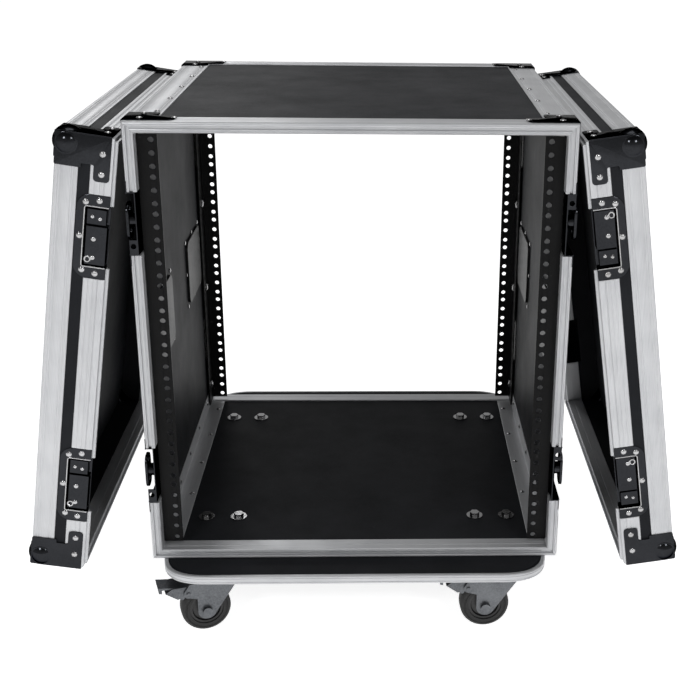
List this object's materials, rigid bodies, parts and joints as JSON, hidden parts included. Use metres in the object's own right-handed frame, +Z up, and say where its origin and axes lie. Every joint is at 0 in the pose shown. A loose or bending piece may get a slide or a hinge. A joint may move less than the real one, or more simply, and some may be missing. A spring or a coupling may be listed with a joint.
{
  "type": "equipment rack case",
  "caption": "Wheeled 19-inch rack flight case for audio equipment, open front and rear, with two ball-cornered lids taken off and leaning at its sides.",
  "frame": {"origin": "on the floor, under the middle of the case and its castor board", "axes": "+X to the right facing the front opening, +Y from the front opening to the rear opening, +Z up"},
  "size_m": [0.8476, 0.602, 0.6699],
  "materials": {
    "laminate": "black laminated plywood, satin",
    "aluminium": "extruded, natural anodised",
    "rail_black": "black powder coat",
    "chrome": "bright chrome on pressed steel",
    "fasteners": "bright nickel",
    "zinc": "zinc plate",
    "pedal_steel": "zinc plate, dull",
    "rubber": "matt black",
    "wheel_core": "moulded nylon",
    "grip": "bright steel bail"
  },
  "bodies": {
    "case": {"board_bolts": "fasteners", "board_edging": "aluminium", "body_rivets": "fasteners", "caster_board": "laminate", "caster_plates": "zinc", "corner_braces": "chrome", "edge_angles": "aluminium", "frame_front": "aluminium", "frame_rear": "aluminium", "handle_dishes": "chrome", "inner_angles": "aluminium", "latch_dishes": "chrome", "panel_bottom": "laminate", "panel_left": "laminate", "panel_right": "laminate", "panel_top": "laminate", "rack_rails": "rail_black", "rail_bolts": "fasteners"},
    "caster_front_left_swivel": {"fork_front_left": "zinc"},
    "caster_front_left_wheel": {"core_front_left": "wheel_core", "tyre_front_left": "rubber"},
    "caster_front_left_pedal": {"pedal_front_left": "pedal_steel"},
    "latch_front_left_low": {"latch_front_left_low": "chrome"},
    "latch_front_left_high": {"latch_front_left_high": "chrome"},
    "caster_front_right_swivel": {"fork_front_right": "zinc"},
    "caster_front_right_wheel": {"core_front_right": "wheel_core", "tyre_front_right": "rubber"},
    "caster_front_right_pedal": {"pedal_front_right": "pedal_steel"},
    "latch_front_right_low": {"latch_front_right_low": "chrome"},
    "latch_front_right_high": {"latch_front_right_high": "chrome"},
    "caster_rear_left_swivel": {"fork_rear_left": "zinc"},
    "caster_rear_left_wheel": {"core_rear_left": "wheel_core", "tyre_rear_left": "rubber"},
    "caster_rear_left_pedal": {"pedal_rear_left": "pedal_steel"},
    "latch_rear_left_low": {"latch_rear_left_low": "chrome"},
    "latch_rear_left_high": {"latch_rear_left_high": "chrome"},
    "caster_rear_right_swivel": {"fork_rear_right": "zinc"},
    "caster_rear_right_wheel": {"core_rear_right": "wheel_core", "tyre_rear_right": "rubber"},
    "caster_rear_right_pedal": {"pedal_rear_right": "pedal_steel"},
    "latch_rear_right_low": {"latch_rear_right_low": "chrome"},
    "latch_rear_right_high": {"latch_rear_right_high": "chrome"},
    "grip_left_front": {"grip_left_front": "grip"},
    "grip_left_rear": {"grip_left_rear": "grip"},
    "lid_left": {"lid_board_left": "laminate", "lid_corners_left": "chrome", "lid_edging_left": "aluminium", "lid_keepers_left": "chrome", "lid_rim_left": "aluminium", "lid_rivets_left": "fasteners", "lid_walls_left": "laminate"},
    "grip_right_front": {"grip_right_front": "grip"},
    "grip_right_rear": {"grip_right_rear": "grip"},
    "lid_right": {"lid_board_right": "laminate", "lid_corners_right": "chrome", "lid_edging_right": "aluminium", "lid_keepers_right": "chrome", "lid_rim_right": "aluminium", "lid_rivets_right": "fasteners", "lid_walls_right": "laminate"}
  },
  "joints": [
    {"name": "front_left_swivel", "type": "hinge", "parent": "case", "child": "caster_front_left_swivel", "pos_m": [-0.184, -0.253, 0.0755], "axis": [0, 0, 1], "continuous": true},
    {"name": "front_left_roll", "type": "hinge", "parent": "caster_front_left_swivel", "child": "caster_front_left_wheel", "pos_m": [-0.19827, -0.25764, 0.0325], "axis": [-0.309, 0.9511, 0], "continuous": true},
    {"name": "front_left_brake", "type": "hinge", "parent": "caster_front_left_swivel", "child": "caster_front_left_pedal", "pos_m": [-0.22012, -0.26474, 0.0615], "axis": [-0.309, 0.9511, 0], "range_deg": [-14, 0]},
    {"name": "front_left_low_turn", "type": "hinge", "parent": "case", "child": "latch_front_left_low", "pos_m": [-0.258, -0.236, 0.2195], "axis": [1, 0, 0], "range_deg": [0, 180]},
    {"name": "front_left_high_turn", "type": "hinge", "parent": "case", "child": "latch_front_left_high", "pos_m": [-0.258, -0.236, 0.5471], "axis": [1, 0, 0], "range_deg": [0, 180]},
    {"name": "front_right_swivel", "type": "hinge", "parent": "case", "child": "caster_front_right_swivel", "pos_m": [0.184, -0.253, 0.0755], "axis": [0, 0, 1], "continuous": true},
    {"name": "front_right_roll", "type": "hinge", "parent": "caster_front_right_swivel", "child": "caster_front_right_wheel", "pos_m": [0.16904, -0.25405, 0.0325], "axis": [-0.0698, 0.9976, 0], "continuous": true},
    {"name": "front_right_brake", "type": "hinge", "parent": "caster_front_right_swivel", "child": "caster_front_right_pedal", "pos_m": [0.14611, -0.25565, 0.0615], "axis": [-0.0698, 0.9976, 0], "range_deg": [-14, 0]},
    {"name": "front_right_low_turn", "type": "hinge", "parent": "case", "child": "latch_front_right_low", "pos_m": [0.258, -0.236, 0.2195], "axis": [1, 0, 0], "range_deg": [0, 180]},
    {"name": "front_right_high_turn", "type": "hinge", "parent": "case", "child": "latch_front_right_high", "pos_m": [0.258, -0.236, 0.5471], "axis": [1, 0, 0], "range_deg": [0, 180]},
    {"name": "rear_left_swivel", "type": "hinge", "parent": "case", "child": "caster_rear_left_swivel", "pos_m": [-0.184, 0.253, 0.0755], "axis": [0, 0, 1], "continuous": true},
    {"name": "rear_left_roll", "type": "hinge", "parent": "caster_rear_left_swivel", "child": "caster_rear_left_wheel", "pos_m": [-0.19877, 0.25039, 0.0325], "axis": [-0.1736, 0.9848, 0], "continuous": true},
    {"name": "rear_left_brake", "type": "hinge", "parent": "caster_rear_left_swivel", "child": "caster_rear_left_pedal", "pos_m": [-0.2214, 0.2464, 0.0615], "axis": [-0.1736, 0.9848, 0], "range_deg": [-14, 0]},
    {"name": "rear_left_low_turn", "type": "hinge", "parent": "case", "child": "latch_rear_left_low", "pos_m": [-0.258, 0.236, 0.2195], "axis": [1, 0, 0], "range_deg": [0, 180]},
    {"name": "rear_left_high_turn", "type": "hinge", "parent": "case", "child": "latch_rear_left_high", "pos_m": [-0.258, 0.236, 0.5471], "axis": [1, 0, 0], "range_deg": [0, 180]},
    {"name": "rear_right_swivel", "type": "hinge", "parent": "case", "child": "caster_rear_right_swivel", "pos_m": [0.184, 0.253, 0.0755], "axis": [0, 0, 1], "continuous": true},
    {"name": "rear_right_roll", "type": "hinge", "parent": "caster_rear_right_swivel", "child": "caster_rear_right_wheel", "pos_m": [0.16915, 0.25509, 0.0325], "axis": [0.1392, 0.9903, 0], "continuous": true},
    {"name": "rear_right_brake", "type": "hinge", "parent": "caster_rear_right_swivel", "child": "caster_rear_right_pedal", "pos_m": [0.14639, 0.25829, 0.0615], "axis": [0.1392, 0.9903, 0], "range_deg": [-14, 0]},
    {"name": "rear_right_low_turn", "type": "hinge", "parent": "case", "child": "latch_rear_right_low", "pos_m": [0.258, 0.236, 0.2195], "axis": [1, 0, 0], "range_deg": [0, 180]},
    {"name": "rear_right_high_turn", "type": "hinge", "parent": "case", "child": "latch_rear_right_high", "pos_m": [0.258, 0.236, 0.5471], "axis": [1, 0, 0], "range_deg": [0, 180]},
    {"name": "handle_left_front", "type": "hinge", "parent": "case", "child": "grip_left_front", "pos_m": [-0.2555, -0.126, 0.4073], "axis": [0, 1, 0], "range_deg": [0, 90], "stiffness_Nm_per_rad": 0.15},
    {"name": "handle_left_rear", "type": "hinge", "parent": "case", "child": "grip_left_rear", "pos_m": [-0.2555, 0.126, 0.4073], "axis": [0, 1, 0], "range_deg": [0, 90], "stiffness_Nm_per_rad": 0.15},
    {"name": "lid_left_away", "type": "slide", "parent": "case", "child": "lid_left", "axis": [-1, 0, 0], "range_m": [0, 0.4]},
    {"name": "handle_right_front", "type": "hinge", "parent": "case", "child": "grip_right_front", "pos_m": [0.2555, -0.126, 0.4073], "axis": [0, -1, 0], "range_deg": [0, 90], "stiffness_Nm_per_rad": 0.15},
    {"name": "handle_right_rear", "type": "hinge", "parent": "case", "child": "grip_right_rear", "pos_m": [0.2555, 0.126, 0.4073], "axis": [0, -1, 0], "range_deg": [0, 90], "stiffness_Nm_per_rad": 0.15},
    {"name": "lid_right_away", "type": "slide", "parent": "case", "child": "lid_right", "axis": [1, 0, 0], "range_m": [0, 0.4]}
  ]
}
